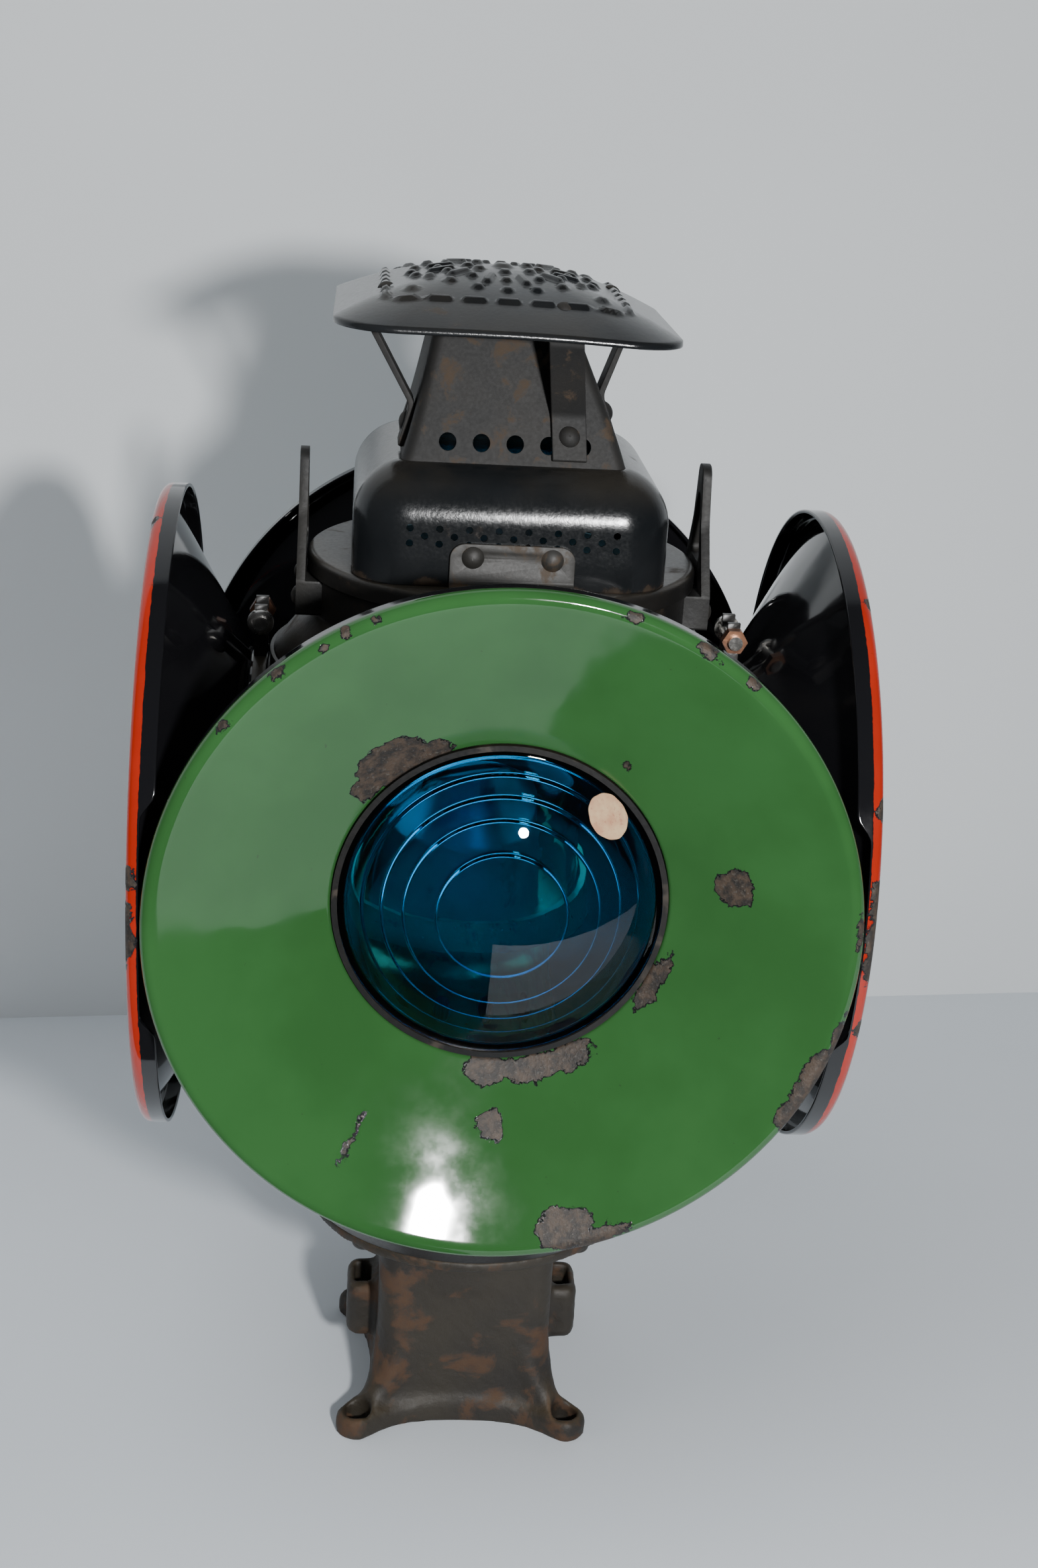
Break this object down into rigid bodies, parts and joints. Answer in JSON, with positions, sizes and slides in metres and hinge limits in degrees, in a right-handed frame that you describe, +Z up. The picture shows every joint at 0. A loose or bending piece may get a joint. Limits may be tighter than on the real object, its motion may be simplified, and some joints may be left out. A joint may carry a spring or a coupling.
{
  "type": "railway switch-stand lamp",
  "caption": "Oil-burning railway switch-stand lamp: round body on a cast socket base, four lenses with dished enamelled day targets, hinged hood with chimney and cap.",
  "frame": {"origin": "centre of the underside of the base casting's feet", "axes": "+Z up; -Y through the front lens, which carries a green day target; +X through the right lens, with a red one"},
  "size_m": [0.2374, 0.2374, 0.4334],
  "materials": {
    "black_paint": "weathered satin black paint with dusty rust",
    "satin_black": "satin black with a slight blue sheen and rust runs",
    "green_enamel": "glossy vitreous enamel, chipped to dark steel",
    "red_enamel": "glossy vitreous enamel, chipped to dark steel",
    "blue_green_glass": "deep blue-green pressed glass, polished outside",
    "clear_glass": "clear blown glass",
    "rusty_iron": "rough casting with brown rust",
    "rusty_steel": "worn steel with brown rust",
    "steel_bolts": "bare domed bolt heads",
    "coppered_nuts": "dull copper-brown",
    "tinplate": "dull tinned sheet",
    "brass": "dull brass",
    "felt": "pressed felt",
    "wick_cotton": "woven cotton",
    "cork": "cork"
  },
  "bodies": {
    "lamp": {"base_bolts": "rusty_steel", "base_casting": "rusty_iron", "base_nuts": "rusty_steel", "body_pan": "black_paint", "body_shell": "black_paint", "body_shoulder": "black_paint", "burner_body": "brass", "burner_collar": "brass", "burner_gallery": "brass", "clamp_bands": "black_paint", "clamp_bolts": "steel_bolts", "clamp_nuts": "coppered_nuts", "collar_rivets": "rusty_steel", "day_target_back": "green_enamel", "day_target_front": "green_enamel", "day_target_left": "red_enamel", "day_target_right": "red_enamel", "flame_cone": "tinplate", "fount_cover": "tinplate", "fount_seat": "tinplate", "fount_springs": "tinplate", "fount_tank": "tinplate", "glass_chimney": "clear_glass", "hinge_leaf_body": "rusty_steel", "hinge_pin": "rusty_steel", "latch_keeper": "black_paint", "lens_back": "blue_green_glass", "lens_barrel_back": "black_paint", "lens_barrel_front": "black_paint", "lens_barrel_left": "black_paint", "lens_barrel_right": "black_paint", "lens_front": "blue_green_glass", "lens_left": "blue_green_glass", "lens_retainers": "tinplate", "lens_right": "blue_green_glass", "lens_seals": "felt", "lifting_ear_left": "rusty_iron", "lifting_ear_right": "rusty_iron", "top_ring": "black_paint", "wick_tube": "brass"},
    "hood": {"ventilator_dome": "satin_black", "chimney": "satin_black", "chimney_cap": "satin_black", "cap_strap_front": "satin_black", "cap_strap_right": "satin_black", "cap_strap_back": "satin_black", "cap_strap_left": "satin_black", "strap_rivets": "rusty_steel", "hinge_leaf_hood": "rusty_steel", "latch_tongue": "rusty_steel", "hood_rivets": "rusty_steel"},
    "filler_cap": {"filler_cap": "brass", "filler_washer": "cork"},
    "wick_raiser": {"wick_spindle": "brass", "star_wheels": "brass", "wick_knob": "brass"},
    "wick": {"wick": "wick_cotton"}
  },
  "joints": [
    {"name": "hood_hinge", "type": "hinge", "parent": "lamp", "child": "hood", "pos_m": [0, -0.072, 0.3356], "axis": [1, 0, 0], "range_deg": [0, 95]},
    {"name": "filler_cap_turn", "type": "hinge", "parent": "lamp", "child": "filler_cap", "pos_m": [0.026, 0, 0.1702], "axis": [0, 0, 1], "range_deg": [0, 540]},
    {"name": "wick_raiser_turn", "type": "hinge", "parent": "lamp", "child": "wick_raiser", "pos_m": [0, -0.006, 0.1832], "axis": [1, 0, 0], "range_deg": [-96, 48]},
    {"name": "wick_lift", "type": "slide", "parent": "lamp", "child": "wick", "axis": [0, 0, 1], "range_m": [-0.008, 0.004]}
  ],
  "couplings": [
    {"joint": "wick_lift", "follows": "wick_raiser_turn", "m_per_rad": 0.00475}
  ]
}
